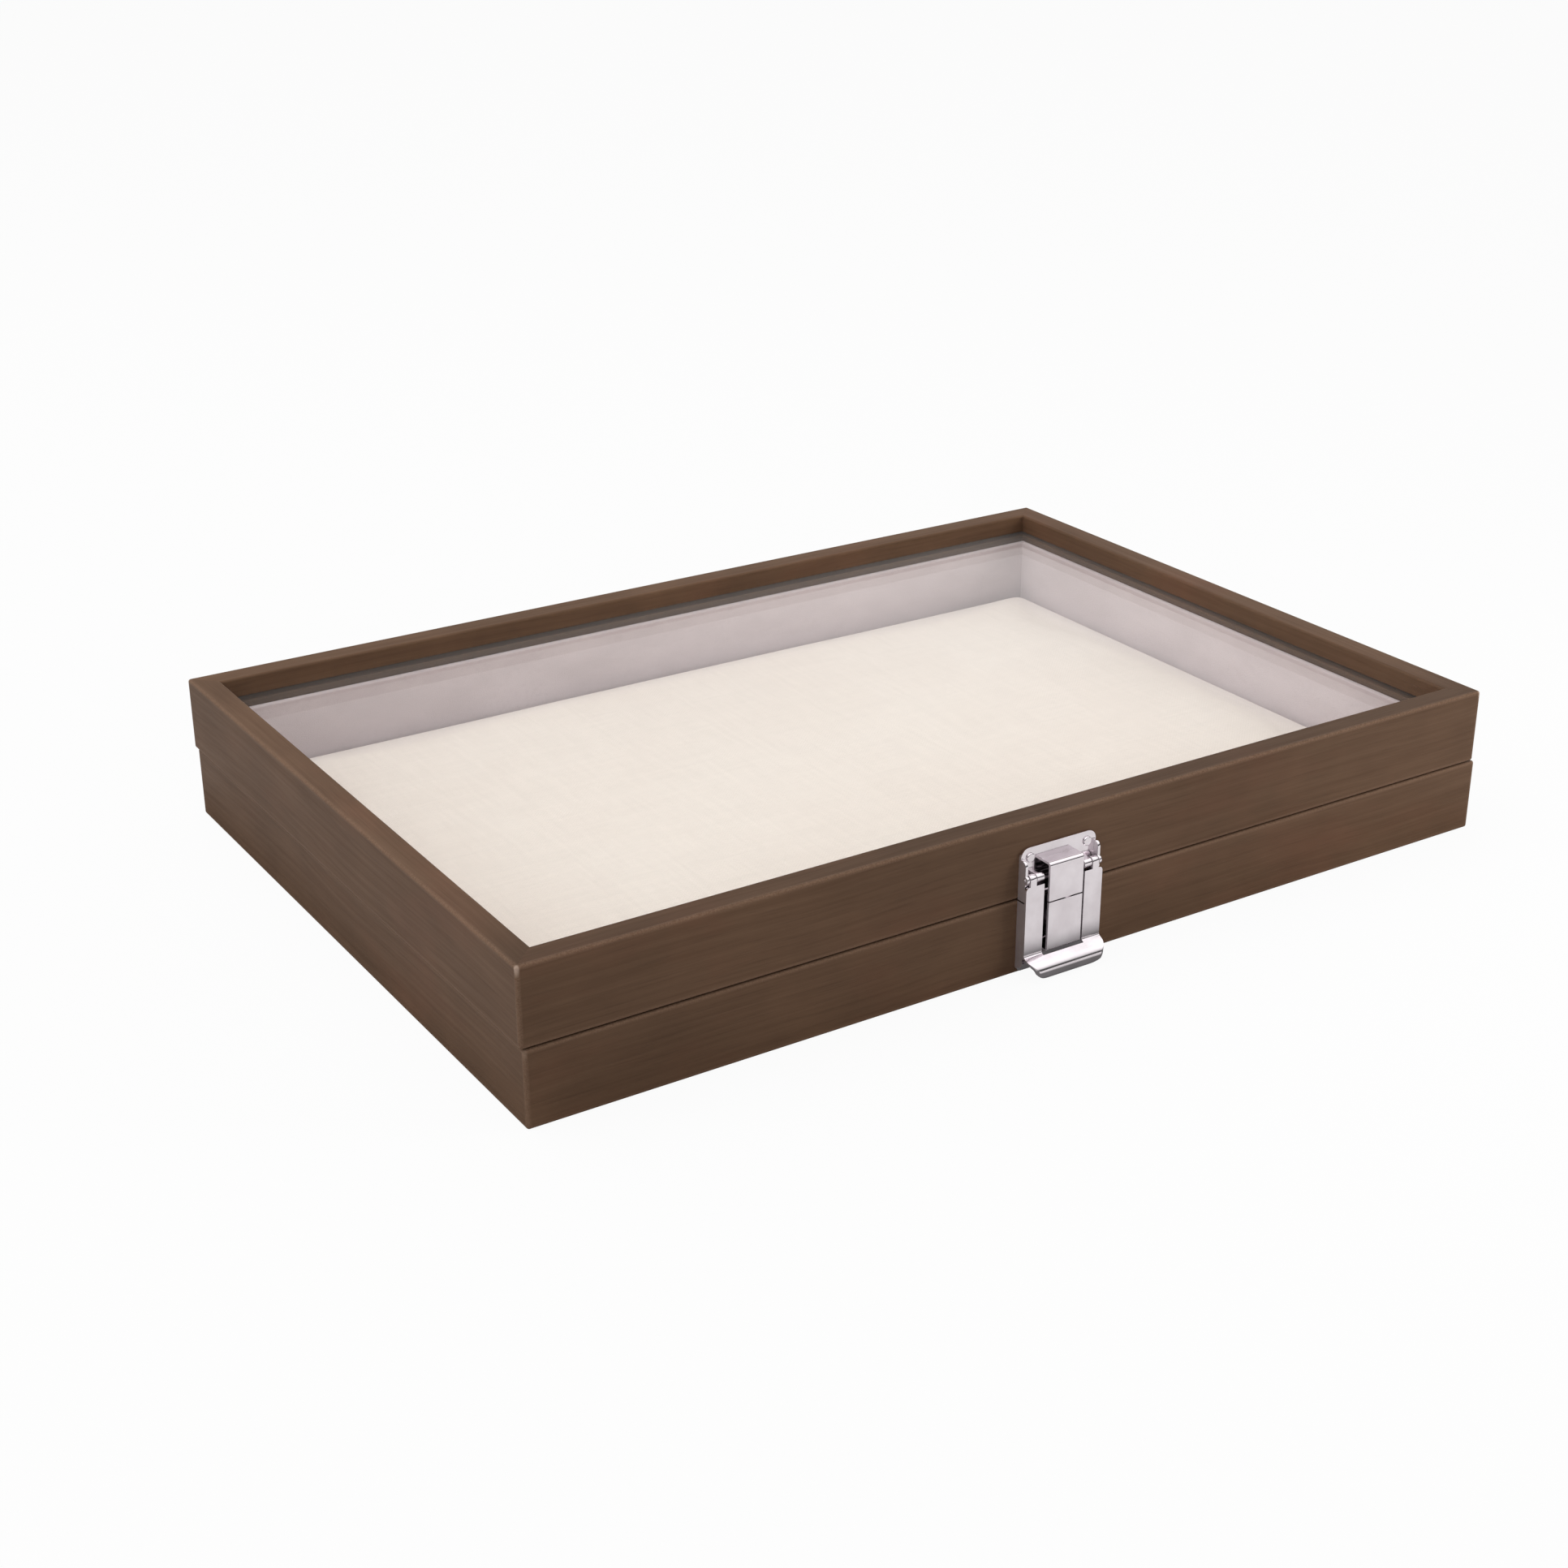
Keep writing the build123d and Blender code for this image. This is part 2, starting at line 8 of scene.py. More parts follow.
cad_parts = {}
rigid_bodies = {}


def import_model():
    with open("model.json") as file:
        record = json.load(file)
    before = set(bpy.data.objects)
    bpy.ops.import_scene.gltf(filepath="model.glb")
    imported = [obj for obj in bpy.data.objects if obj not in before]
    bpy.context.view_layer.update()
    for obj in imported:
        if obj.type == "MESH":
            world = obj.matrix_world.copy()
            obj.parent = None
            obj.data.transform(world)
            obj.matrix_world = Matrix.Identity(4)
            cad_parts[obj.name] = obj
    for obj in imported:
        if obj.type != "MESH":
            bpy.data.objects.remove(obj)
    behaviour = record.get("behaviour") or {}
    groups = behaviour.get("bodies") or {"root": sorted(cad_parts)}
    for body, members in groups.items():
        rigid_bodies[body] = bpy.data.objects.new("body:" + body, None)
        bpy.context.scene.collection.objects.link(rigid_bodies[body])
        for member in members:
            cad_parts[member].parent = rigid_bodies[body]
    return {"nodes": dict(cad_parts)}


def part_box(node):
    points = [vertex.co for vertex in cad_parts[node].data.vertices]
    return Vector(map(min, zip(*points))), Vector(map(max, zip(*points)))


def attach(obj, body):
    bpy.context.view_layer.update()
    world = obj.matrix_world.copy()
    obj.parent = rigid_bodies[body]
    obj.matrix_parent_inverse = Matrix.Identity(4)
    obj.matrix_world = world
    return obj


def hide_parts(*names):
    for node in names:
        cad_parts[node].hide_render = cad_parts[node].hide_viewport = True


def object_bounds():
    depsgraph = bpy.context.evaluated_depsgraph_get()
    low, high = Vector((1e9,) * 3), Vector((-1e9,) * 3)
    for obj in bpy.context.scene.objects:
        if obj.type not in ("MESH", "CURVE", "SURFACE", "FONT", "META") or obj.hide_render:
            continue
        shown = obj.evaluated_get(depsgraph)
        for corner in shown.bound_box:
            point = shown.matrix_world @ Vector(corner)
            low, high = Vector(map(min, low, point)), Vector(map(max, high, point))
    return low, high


for leftover in list(bpy.data.objects):
    bpy.data.objects.remove(leftover)

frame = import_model()
cadLow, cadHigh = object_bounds()
nodes = frame["nodes"]
print("frame loaded:", len(nodes), "CAD nodes")

baseLow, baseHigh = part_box("base_wall_front")
lidLow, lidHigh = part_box("lid_rail_front")
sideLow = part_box("base_wall_left")[0]
caseDepth = 2 * abs(baseLow.y)
caseLength = 2 * abs(sideLow.x)
lidCentreX = (lidLow.x + lidHigh.x) / 2


def paint(red, green, blue):  # 8-bit screen colour to the linear one that a socket takes
    shares = [level / 255 for level in (red, green, blue)]
    return (*[s / 12.92 if s <= 0.04045 else ((s + 0.055) / 1.055) ** 2.4 for s in shares], 1)


def addNode(tree, kind, **settings):
    node = tree.nodes.new("ShaderNode" + kind)
    for key, value in settings.items():
        setattr(node, key, value)
    return node


def feed(tree, socket, value):  # a link for a socket, a plain value for anything else
    if isinstance(value, bpy.types.NodeSocket):
        tree.links.new(value, socket)
    else:
        socket.default_value = value


def calc(tree, operation, *values):
    node = addNode(tree, "Math", operation=operation)
    for socket, value in zip(node.inputs, values):
        feed(tree, socket, value)
    return node.outputs[0]


def blendColours(tree, share, first, second, mode="MIX"):
    node = addNode(tree, "Mix", data_type="RGBA", blend_type=mode)
    for number, value in ((0, share), (6, first), (7, second)):  # the Mix node's colour sockets
        feed(tree, node.inputs[number], value)
    return node.outputs[2]


def blendValues(tree, share, first, second):
    node = addNode(tree, "Mix", data_type="FLOAT")
    for number, value in ((0, share), (2, first), (3, second)):  # its plain number sockets
        feed(tree, node.inputs[number], value)
    return node.outputs[0]


def rangeOf(tree, value, low, high, newLow, newHigh):
    node = addNode(tree, "MapRange", clamp=True)
    for socket, given in zip(node.inputs, (value, low, high, newLow, newHigh)):
        feed(tree, socket, given)
    return node.outputs[0]


def rise(tree, value, span, most=1.0):  # 0 below the span, the most above it
    return rangeOf(tree, value, *span, 0.0, most)


def scaled(tree, vector, factors):
    node = addNode(tree, "VectorMath", operation="MULTIPLY")
    feed(tree, node.inputs[0], vector)
    feed(tree, node.inputs[1], factors)
    return node.outputs[0]


def split(tree, vector):
    node = addNode(tree, "SeparateXYZ")
    tree.links.new(vector, node.inputs[0])
    return node.outputs


def facingParts(tree):  # X, Y and Z of the way that the surface faces
    return split(tree, addNode(tree, "TexCoord").outputs["Normal"])


def noise(tree, vector, scale, detail=2.0, roughness=0.5):
    node = addNode(tree, "TexNoise")
    feed(tree, node.inputs["Vector"], vector)
    feed(tree, node.inputs["Scale"], scale)
    node.inputs["Detail"].default_value = detail
    node.inputs["Roughness"].default_value = roughness
    return node.outputs[0]


def centred(tree, value, amount):  # a noise from 0 to 1, turned into one around 0
    return calc(tree, "MULTIPLY", calc(tree, "SUBTRACT", value, 0.5), amount)


def mixShaders(tree, share, first, second):
    node = addNode(tree, "MixShader")
    for socket, source in zip(node.inputs, (share, first, second)):
        tree.links.new(source, socket)
    return node.outputs[0]


def startGroup(name, inputs, outputs):
    group = bpy.data.node_groups.new(name, "ShaderNodeTree")
    sockets = group.interface
    for label, kind, value in inputs:
        socket = sockets.new_socket(label, in_out="INPUT", socket_type="NodeSocket" + kind)
        if value is not None:
            socket.default_value = value
    for label, kind in outputs:
        sockets.new_socket(label, in_out="OUTPUT", socket_type="NodeSocket" + kind)
    given = group.nodes.new("NodeGroupInput").outputs
    result = group.nodes.new("NodeGroupOutput").inputs
    return group, given, result


def useGroup(tree, group, **values):  # spaces in a socket's name are left out of the keyword
    node = tree.nodes.new("ShaderNodeGroup")
    node.node_tree = group
    for socket in node.inputs:
        key = socket.name.replace(" ", "")
        key = key[0].lower() + key[1:]
        if key in values:
            feed(tree, socket, values[key])
    return node.outputs


def startMaterial(name):
    material = bpy.data.materials.new(name)
    material.use_nodes = True
    tree = material.node_tree
    tree.nodes.clear()
    shader = addNode(tree, "BsdfPrincipled")
    output = addNode(tree, "OutputMaterial")
    tree.links.new(shader.outputs[0], output.inputs[0])
    place = addNode(tree, "TexCoord").outputs["Object"]
    return material, tree, shader, place


def showInstead(tree, shader):  # takes the place of the material's own shader
    output = next(node for node in tree.nodes if node.type == "OUTPUT_MATERIAL")
    tree.links.new(shader, output.inputs[0])


def setSockets(shader, values):
    for name, value in values.items():
        shader.inputs[name].default_value = value


def addBump(tree, shader, height, distance, strength=1.0):
    bump = addNode(tree, "Bump")
    setSockets(bump, {"Strength": strength, "Distance": distance})
    tree.links.new(height, bump.inputs["Height"])
    tree.links.new(bump.outputs[0], shader.inputs["Normal"])


mottleShape = {"detail": 3.0, "roughness": 0.55}


def makeMottle():  # soft patches around 1
    tree, given, result = startGroup(
        "mottle",
        [("Vector", "Vector", None), ("Size", "Float", 0.05), ("Amount", "Float", 0.1)],
        [("Value", "Float")],
    )
    perMetre = calc(tree, "DIVIDE", 1.0, given["Size"])
    cloud = noise(tree, given["Vector"], perMetre, **mottleShape)
    swing = centred(tree, cloud, given["Amount"])
    tree.links.new(calc(tree, "ADD", swing, 1.0), result["Value"])
    return tree


grainShape = {
    "sway": {"scale": 9.0, "detail": 1.0},
    "swayDepth": 0.006,  # how far the lines wander to the side
    "lines": {"scale": 1.0, "detail": 3.0, "roughness": 0.62},
    "lineSpan": (0.3, 0.7),
    "pores": {"scale": 1.0, "detail": 1.0},
    "poreStretch": (2.4, 3.1, 3.1),
    "poreSpan": (0.58, 0.72),
}


def makeWoodGrain():  # lines along X
    shape = grainShape
    tree, given, result = startGroup(
        "woodGrain",
        [("Vector", "Vector", None), ("Spacing", "Float", 0.002), ("Stretch", "Float", 40.0)],
        [("Lines", "Float"), ("Pores", "Float")],
    )
    place = split(tree, given["Vector"])
    perMetre = calc(tree, "DIVIDE", 1.0, given["Spacing"])
    along = calc(tree, "DIVIDE", perMetre, given["Stretch"])
    sway = centred(tree, noise(tree, given["Vector"], **shape["sway"]), shape["swayDepth"])
    joined = addNode(tree, "CombineXYZ")
    tree.links.new(calc(tree, "MULTIPLY", place[0], along), joined.inputs[0])
    for axis in (1, 2):
        shifted = calc(tree, "ADD", place[axis], sway)
        tree.links.new(calc(tree, "MULTIPLY", shifted, perMetre), joined.inputs[axis])
    lines = noise(tree, joined.outputs[0], **shape["lines"])
    tree.links.new(rise(tree, lines, shape["lineSpan"]), result["Lines"])
    pores = noise(tree, scaled(tree, joined.outputs[0], shape["poreStretch"]), **shape["pores"])
    tree.links.new(rise(tree, pores, shape["poreSpan"]), result["Pores"])
    return tree


cornerReach = 3.0  # how far down from the top a corner is marked, in widths of an edge


def makeBoxEdge():  # 1 along the twelve edges of a box, fading inwards
    tree, given, result = startGroup(
        "boxEdge",
        [
            ("Vector", "Vector", None),
            ("Middle X", "Float", 0.0),
            ("Half Length", "Float", 0.175),
            ("Half Depth", "Float", 0.12),
            ("Low", "Float", 0.0),
            ("High", "Float", 0.024),
            ("Width", "Float", 0.0015),
        ],
        [("Edge", "Float"), ("Corner", "Float")],
    )
    place = split(tree, given["Vector"])
    fromMiddle = calc(tree, "SUBTRACT", place[0], given["Middle X"])
    insideX = calc(tree, "SUBTRACT", given["Half Length"], calc(tree, "ABSOLUTE", fromMiddle))
    insideY = calc(tree, "SUBTRACT", given["Half Depth"], calc(tree, "ABSOLUTE", place[1]))
    above = calc(tree, "SUBTRACT", place[2], given["Low"])
    below = calc(tree, "SUBTRACT", given["High"], place[2])
    insideZ = calc(tree, "MINIMUM", above, below)

    def near(distance):
        return rangeOf(tree, distance, 0.0, given["Width"], 1.0, 0.0)

    nearX, nearY, nearZ = near(insideX), near(insideY), near(insideZ)
    upright = calc(tree, "MULTIPLY", nearX, nearY)
    level = calc(tree, "MULTIPLY", nearZ, calc(tree, "MAXIMUM", nearX, nearY))
    tree.links.new(calc(tree, "MAXIMUM", upright, level), result["Edge"])
    reach = calc(tree, "MULTIPLY", given["Width"], cornerReach)
    top = rangeOf(tree, below, 0.0, reach, 1.0, 0.0)
    tree.links.new(calc(tree, "MULTIPLY", upright, top), result["Corner"])
    return tree


weaveShape = {
    "facing": 0.7,  # how squarely a surface must face an axis to be woven across it
    "driftScale": 60.0,
    "drift": 0.0012,
    "slubScale": 900.0,
    "slubStretch": ((1.0, 0.06, 1.0), (0.06, 1.0, 1.0)),
    "threadShade": 0.04,
}


def makeWeave():  # plain weave, seen along whichever axis the surface faces
    shape = weaveShape
    tree, given, result = startGroup(
        "weave",
        [("Vector", "Vector", None), ("Pitch", "Float", 0.0006), ("Slubs", "Float", 0.5)],
        [("Height", "Float"), ("Tone", "Float")],
    )
    place, facing = split(tree, given["Vector"]), facingParts(tree)
    facesX, facesY = (
        calc(tree, "GREATER_THAN", calc(tree, "ABSOLUTE", facing[axis]), shape["facing"])
        for axis in (0, 1)
    )
    across = blendValues(tree, facesX, place[0], place[1])
    along = blendValues(tree, calc(tree, "MAXIMUM", facesX, facesY), place[1], place[2])
    drift = centred(tree, noise(tree, given["Vector"], shape["driftScale"]), shape["drift"])
    threads = []
    for source in (across, along):
        moved = calc(tree, "ADD", source, drift)
        threads.append(calc(tree, "DIVIDE", moved, given["Pitch"]))
    rounds = []
    for thread in threads:
        turn = calc(tree, "MULTIPLY", calc(tree, "FRACT", thread), math.pi)
        rounds.append(calc(tree, "SINE", turn))
    steps = calc(tree, "ADD", *[calc(tree, "FLOOR", thread) for thread in threads])
    over = calc(tree, "FLOORED_MODULO", steps, 2.0)
    height = blendValues(tree, over, rounds[0], rounds[1])
    tree.links.new(height, result["Height"])
    slubs = []
    for stretch in shape["slubStretch"]:
        slubs.append(noise(tree, scaled(tree, given["Vector"], stretch), shape["slubScale"]))
    uneven = calc(tree, "SUBTRACT", calc(tree, "ADD", *slubs), 1.0)
    slubby = calc(tree, "MULTIPLY", uneven, given["Slubs"])
    shade = calc(tree, "ADD", slubby, calc(tree, "MULTIPLY", height, shape["threadShade"]))
    tree.links.new(calc(tree, "ADD", shade, 1.0 - shape["threadShade"]), result["Tone"])
    return tree


fineShape = {
    "relief": {"detail": 3.0, "roughness": 0.6},
    "speckleScale": 0.45,
    "speckleDetail": 1.0,
    "speckleSpan": (0.56, 0.68),
}


def makeFineGrain():  # the small uneven relief of pile, board or a worn metal finish
    shape = fineShape
    tree, given, result = startGroup(
        "fineGrain",
        [("Vector", "Vector", None), ("Size", "Float", 0.0004)],
        [("Height", "Float"), ("Speckle", "Float")],
    )
    perMetre = calc(tree, "DIVIDE", 1.0, given["Size"])
    tree.links.new(noise(tree, given["Vector"], perMetre, **shape["relief"]), result["Height"])
    coarser = calc(tree, "MULTIPLY", perMetre, shape["speckleScale"])
    speckle = noise(tree, given["Vector"], coarser, shape["speckleDetail"])
    tree.links.new(rise(tree, speckle, shape["speckleSpan"]), result["Speckle"])
    return tree


mottle = makeMottle()
woodGrain = makeWoodGrain()
boxEdge = makeBoxEdge()
weave = makeWeave()
fineGrain = makeFineGrain()
print("shared effects made:", len(bpy.data.node_groups))


def toned(tree, colour, tone):
    grey = addNode(tree, "CombineColor")
    for socket in grey.inputs:
        tree.links.new(tone, socket)
    return blendColours(tree, 1.0, colour, grey.outputs[0], "MULTIPLY")


wrapLook = {
    "dark": paint(87, 65, 49),
    "light": paint(96, 73, 56),
    "lineSpacing": 0.0016,
    "lineStretch": 38.0,
    "lineHeight": 0.4,  # as a share of the relief, like the next two heights
    "ruddy": paint(106, 70, 54),
    "ruddySize": 0.05,
    "ruddyStretch": (1.0, 2.2, 2.2),
    "ruddySpan": (1.02, 1.25),
    "ruddyShare": 0.3,
    "patchSize": 0.035,
    "patchAmount": 0.5,
    "pore": paint(52, 38, 29),
    "poreShare": 0.14,
    "poreDepth": 0.5,
    "pebbleSize": 0.0005,
    "pebbleSpan": (0.35, 0.65),
    "pebbleHeight": 0.5,
    "relief": 0.00002,
    # painted highlight and wear: a lighter colour along the box's edges
    "rubbed": paint(132, 106, 88),
    "rubbedShares": (0.25, 0.8),
    "edgeWidth": 0.0014,
    "bare": paint(196, 174, 158),  # painted highlight and wear: small light spots at the top corners
    "bareSpan": (0.1, 0.4),
    "bareShare": {"base": 0.1, "lid": 0.5},
    "frontTone": 0.68,  # painted shade and light: the front rail's top is painted darker than the others, the tops behind it lighter
    "rearTone": 1.08,
    "fadeDepth": 0.05,
    "upward": (0.6, 0.9),
    "smooth": 0.51,
    "rough": 0.57,
    "fixed": {"Specular IOR Level": 0.12},
}


def paintedTopShade(tree, place, look):  # painted shade and light on a board's top, darker at the front and lighter behind; 1 on its other faces
    front = -caseDepth / 2
    rear = front + look["fadeDepth"]
    depth = split(tree, place)[1]
    topShade = rangeOf(tree, depth, front, rear, look["frontTone"], look["rearTone"])
    upward = rise(tree, facingParts(tree)[2], look["upward"])
    change = calc(tree, "MULTIPLY", calc(tree, "SUBTRACT", topShade, 1.0), upward)
    return calc(tree, "ADD", change, 1.0)


# The leatherette on the boards, its lines along X or, when turned, along Y
def makeWrap(name, turned, middleX, low, high, bareShare):
    look = wrapLook
    material, tree, shader, place = startMaterial(name)
    mapping = addNode(tree, "Mapping")
    mapping.inputs["Rotation"].default_value = (0, 0, math.radians(90) if turned else 0)
    tree.links.new(place, mapping.inputs["Vector"])
    along = mapping.outputs[0]
    grain = useGroup(
        tree,
        woodGrain,
        vector=along,
        spacing=look["lineSpacing"],
        stretch=look["lineStretch"],
    )
    patches = useGroup(
        tree, mottle, vector=along, size=look["patchSize"], amount=look["patchAmount"]
    )
    ruddy = useGroup(
        tree,
        mottle,
        vector=scaled(tree, along, look["ruddyStretch"]),
        size=look["ruddySize"],
        amount=1.0,
    )
    edges = useGroup(
        tree,
        boxEdge,
        vector=place,
        middleX=middleX,
        halfLength=caseLength / 2,
        halfDepth=caseDepth / 2,
        low=low,
        high=high,
        width=look["edgeWidth"],
    )
    pebble = useGroup(tree, fineGrain, vector=place, size=look["pebbleSize"])

    colour = blendColours(tree, grain["Lines"], look["dark"], look["light"])
    reddened = rise(tree, ruddy["Value"], look["ruddySpan"], look["ruddyShare"])
    colour = blendColours(tree, reddened, colour, look["ruddy"])
    darkened = calc(tree, "MULTIPLY", grain["Pores"], look["poreShare"])
    colour = blendColours(tree, darkened, colour, look["pore"])
    # painted shade and light on the tops of the boards
    topShaded = paintedTopShade(tree, place, look)
    colour = toned(tree, colour, calc(tree, "MULTIPLY", patches["Value"], topShaded))
    uneven = rangeOf(tree, pebble["Height"], *look["pebbleSpan"], *look["rubbedShares"])
    # painted highlight and wear along the edges
    rubbed = calc(tree, "MULTIPLY", edges["Edge"], uneven)
    colour = blendColours(tree, rubbed, colour, look["rubbed"])
    # painted highlight and wear at the top corners
    cornerHighlight = rise(tree, edges["Corner"], look["bareSpan"], bareShare)
    colour = blendColours(tree, cornerHighlight, colour, look["bare"])
    tree.links.new(colour, shader.inputs["Base Color"])

    gloss = rangeOf(tree, grain["Lines"], 0.0, 1.0, look["rough"], look["smooth"])
    tree.links.new(gloss, shader.inputs["Roughness"])
    setSockets(shader, look["fixed"])
    lines = calc(tree, "MULTIPLY", grain["Lines"], look["lineHeight"])
    pebbles = calc(tree, "MULTIPLY", pebble["Height"], look["pebbleHeight"])
    pores = calc(tree, "MULTIPLY", grain["Pores"], look["poreDepth"])
    height = calc(tree, "SUBTRACT", calc(tree, "ADD", lines, pebbles), pores)
    addBump(tree, shader, height, look["relief"])
    return material


velvetLook = {
    "colour": paint(203, 190, 192),
    "shaded": paint(184, 170, 172),
    "brushedSize": 0.03,
    "brushedStretch": (1.0, 1.0, 2.5),
    "brushedAmount": 1.6,
    "brushedSpan": (0.75, 1.25),
    "brushedShare": 0.55,
    "speckleShare": 0.3,
    "pile": 0.0004,
    "pileSpan": (0.3, 0.7),
    "roughness": (0.85, 1.0),
    "relief": 0.00012,
    "fixed": {
        "Sheen Weight": 0.35,
        "Sheen Roughness": 0.4,
        "Sheen Tint": paint(225, 216, 220),
        "Specular IOR Level": 0.2,
    },
}


def makeVelvet():
    look = velvetLook
    material, tree, shader, place = startMaterial("greyVelvet")
    pile = useGroup(tree, fineGrain, vector=place, size=look["pile"])
    brushed = useGroup(
        tree,
        mottle,
        vector=scaled(tree, place, look["brushedStretch"]),
        size=look["brushedSize"],
        amount=look["brushedAmount"],
    )
    leaning = rise(tree, brushed["Value"], look["brushedSpan"], look["brushedShare"])
    colour = blendColours(tree, leaning, look["colour"], look["shaded"])
    speckled = calc(tree, "MULTIPLY", pile["Speckle"], look["speckleShare"])
    colour = blendColours(tree, speckled, colour, look["shaded"])
    tree.links.new(colour, shader.inputs["Base Color"])
    matt = rangeOf(tree, pile["Height"], *look["pileSpan"], *look["roughness"])
    tree.links.new(matt, shader.inputs["Roughness"])
    setSockets(shader, look["fixed"])
    addBump(tree, shader, pile["Height"], look["relief"])
    return material


padLook = {
    "colour": paint(236, 226, 217),
    "shaded": paint(229, 216, 206),
    "patchSize": 0.07,
    "patchAmount": 0.9,
    "patchSpan": (0.8, 1.2),
    "patchShare": 0.5,
    "rim": paint(214, 204, 203),  # painted shade along the right and rear edges
    "rimWidth": 0.017,
    "rimShare": 0.7,
    "pitch": 0.0006,
    "slubs": 0.1,
    "roughness": (0.95, 0.8),
    "relief": 0.00006,
    "reliefStrength": 0.7,
    "fixed": {"Sheen Weight": 0.15, "Specular IOR Level": 0.25},
}


def makePadCloth():
    look = padLook
    material, tree, shader, place = startMaterial("creamCloth")
    cloth = useGroup(tree, weave, vector=place, pitch=look["pitch"], slubs=look["slubs"])
    patches = useGroup(
        tree, mottle, vector=place, size=look["patchSize"], amount=look["patchAmount"]
    )
    shaded = rise(tree, patches["Value"], look["patchSpan"], look["patchShare"])
    colour = blendColours(tree, shaded, look["colour"], look["shaded"])
    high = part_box("pad_cushion")[1]
    parts = split(tree, place)
    # painted shade: the cloth is painted greyer towards its right and rear edges
    toRight, toRear = (
        rise(tree, parts[axis], (high[axis] - look["rimWidth"], high[axis]), look["rimShare"])
        for axis in (0, 1)
    )
    colour = blendColours(tree, calc(tree, "MAXIMUM", toRight, toRear), colour, look["rim"])
    colour = toned(tree, colour, cloth["Tone"])
    tree.links.new(colour, shader.inputs["Base Color"])
    matt = rangeOf(tree, cloth["Height"], 0.0, 1.0, *look["roughness"])
    tree.links.new(matt, shader.inputs["Roughness"])
    setSockets(shader, look["fixed"])
    addBump(tree, shader, cloth["Height"], look["relief"], look["reliefStrength"])
    return material


boardLook = {
    "colour": paint(124, 98, 74),
    "flecks": paint(92, 70, 52),
    "fleckShare": 0.6,
    "patchSize": 0.06,
    "patchSpan": (0.8, 1.2),
    "patchShare": 0.35,
    "fibre": 0.0012,
    "fibreSpan": (0.3, 0.7),
    "roughness": (0.75, 0.95),
    "relief": 0.0001,
}


def makeBoard():
    look = boardLook
    material, tree, shader, place = startMaterial("fibreBoard")
    fibre = useGroup(tree, fineGrain, vector=place, size=look["fibre"])
    patches = useGroup(tree, mottle, vector=place, size=look["patchSize"], amount=1.0)
    flecked = calc(tree, "MULTIPLY", fibre["Speckle"], look["fleckShare"])
    colour = blendColours(tree, flecked, look["colour"], look["flecks"])
    patched = rise(tree, patches["Value"], look["patchSpan"], look["patchShare"])
    colour = blendColours(tree, patched, colour, look["flecks"])
    tree.links.new(colour, shader.inputs["Base Color"])
    matt = rangeOf(tree, fibre["Height"], *look["fibreSpan"], *look["roughness"])
    tree.links.new(matt, shader.inputs["Roughness"])
    addBump(tree, shader, fibre["Height"], look["relief"])
    return material


glassLook = {
    "through": (0.97, 0.97, 0.965, 1),
    "smearSize": 0.05,
    "smearSpan": (0.9, 1.25),
    "smearRoughness": 0.02,
    "fixed": {
        "Base Color": (0.99, 0.992, 0.988, 1),
        "Transmission Weight": 1.0,
        "IOR": 1.13,  # keeps the rails' reflection as faint as in the photo
        "Sheen Weight": 1.0,  # the haze that the photo shows at a flat angle
        "Sheen Roughness": 0.3,
    },
}


def makeGlass():
    look = glassLook
    material, tree, shader, place = startMaterial("clearGlass")
    setSockets(shader, look["fixed"])
    smears = useGroup(tree, mottle, vector=place, size=look["smearSize"], amount=1.0)
    smeared = rise(tree, smears["Value"], look["smearSpan"], look["smearRoughness"])
    tree.links.new(smeared, shader.inputs["Roughness"])
    clear = addNode(tree, "BsdfTransparent")  # lets light through onto the lining
    clear.inputs[0].default_value = look["through"]
    rays = addNode(tree, "LightPath").outputs
    passing = calc(tree, "MAXIMUM", rays["Is Shadow Ray"], rays["Is Diffuse Ray"])
    showInstead(tree, mixShaders(tree, passing, shader.outputs[0], clear.outputs[0]))
    return material


metalLooks = {
    "brightNickel": {
        "colour": paint(239, 232, 236),
        "dulled": paint(225, 217, 221),
        "smooth": 0.06,
        "rough": 0.13,
        "sides": 0.55,  # the stamped pieces' sides aren't polished
        "grain": 0.0006,
    },
    "hingeSteel": {
        "colour": paint(196, 192, 186),
        "dulled": paint(150, 144, 136),
        "smooth": 0.22,
        "rough": 0.42,
        "sides": 0.5,
        "grain": 0.0009,
    },
}
metalFinish = {  # what both metals share
    "grainStretch": (1.0, 1.0, 0.12),
    "grainShare": 0.4,
    "cloudSize": 0.008,
    "cloudAmount": 1.4,
    "cloudSpan": (0.75, 1.25),
    "cloudShare": 0.6,
    "unevenSpan": (0.2, 0.9),
    "sideSpan": (0.85, 0.97),  # how squarely a face looks along X
    "relief": 0.00001,
    "reliefStrength": 0.6,
}


def makeMetal(name):
    look = {**metalFinish, **metalLooks[name]}
    material, tree, shader, place = startMaterial(name)
    stretched = scaled(tree, place, look["grainStretch"])
    grain = useGroup(tree, fineGrain, vector=stretched, size=look["grain"])
    cloud = useGroup(
        tree, mottle, vector=place, size=look["cloudSize"], amount=look["cloudAmount"]
    )
    dull = rise(tree, cloud["Value"], look["cloudSpan"])
    colour = blendColours(tree, dull, look["colour"], look["dulled"])
    tree.links.new(colour, shader.inputs["Base Color"])
    fine = calc(tree, "MULTIPLY", grain["Height"], look["grainShare"])
    uneven = calc(tree, "ADD", calc(tree, "MULTIPLY", dull, look["cloudShare"]), fine)
    faces = rangeOf(tree, uneven, *look["unevenSpan"], look["smooth"], look["rough"])
    alongX = calc(tree, "ABSOLUTE", facingParts(tree)[0])
    sideways = rise(tree, alongX, look["sideSpan"], look["sides"])
    tree.links.new(calc(tree, "MAXIMUM", faces, sideways), shader.inputs["Roughness"])
    setSockets(shader, {"Metallic": 1.0})
    addBump(tree, shader, grain["Height"], look["relief"], look["reliefStrength"])
    return material


